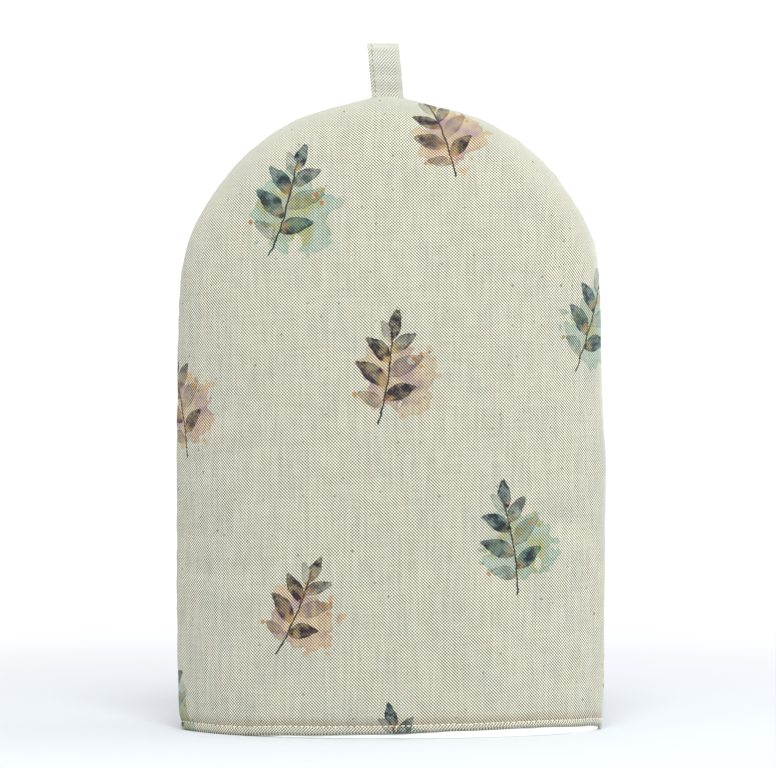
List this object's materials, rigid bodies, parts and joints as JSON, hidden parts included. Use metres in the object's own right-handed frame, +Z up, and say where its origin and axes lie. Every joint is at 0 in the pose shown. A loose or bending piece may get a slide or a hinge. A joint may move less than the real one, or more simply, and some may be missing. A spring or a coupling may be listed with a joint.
{
  "type": "padded cafetiere cosy",
  "caption": "Arched slip-on cosy of padded natural cloth with a white lining, open at the hem, with a tape hanging loop at the top.",
  "frame": {"origin": "centre of the footprint, on the surface that the hem stands on", "axes": "+Z up towards the hanging loop, -Y out of the front panel, +X to the right seen from the front"},
  "size_m": [0.2311, 0.1163, 0.3704],
  "materials": {
    "printed_cloth": "natural basket-weave canvas with a scattered watercolour leaf print",
    "lining_cloth": "plain white woven cotton",
    "loop_tape": "folded natural basket-weave canvas, edge-stitched"
  },
  "bodies": {
    "root": {"front_panel": "printed_cloth", "back_panel": "printed_cloth", "lining_front": "lining_cloth", "lining_back": "lining_cloth", "hanging_loop": "loop_tape"}
  },
  "joints": []
}
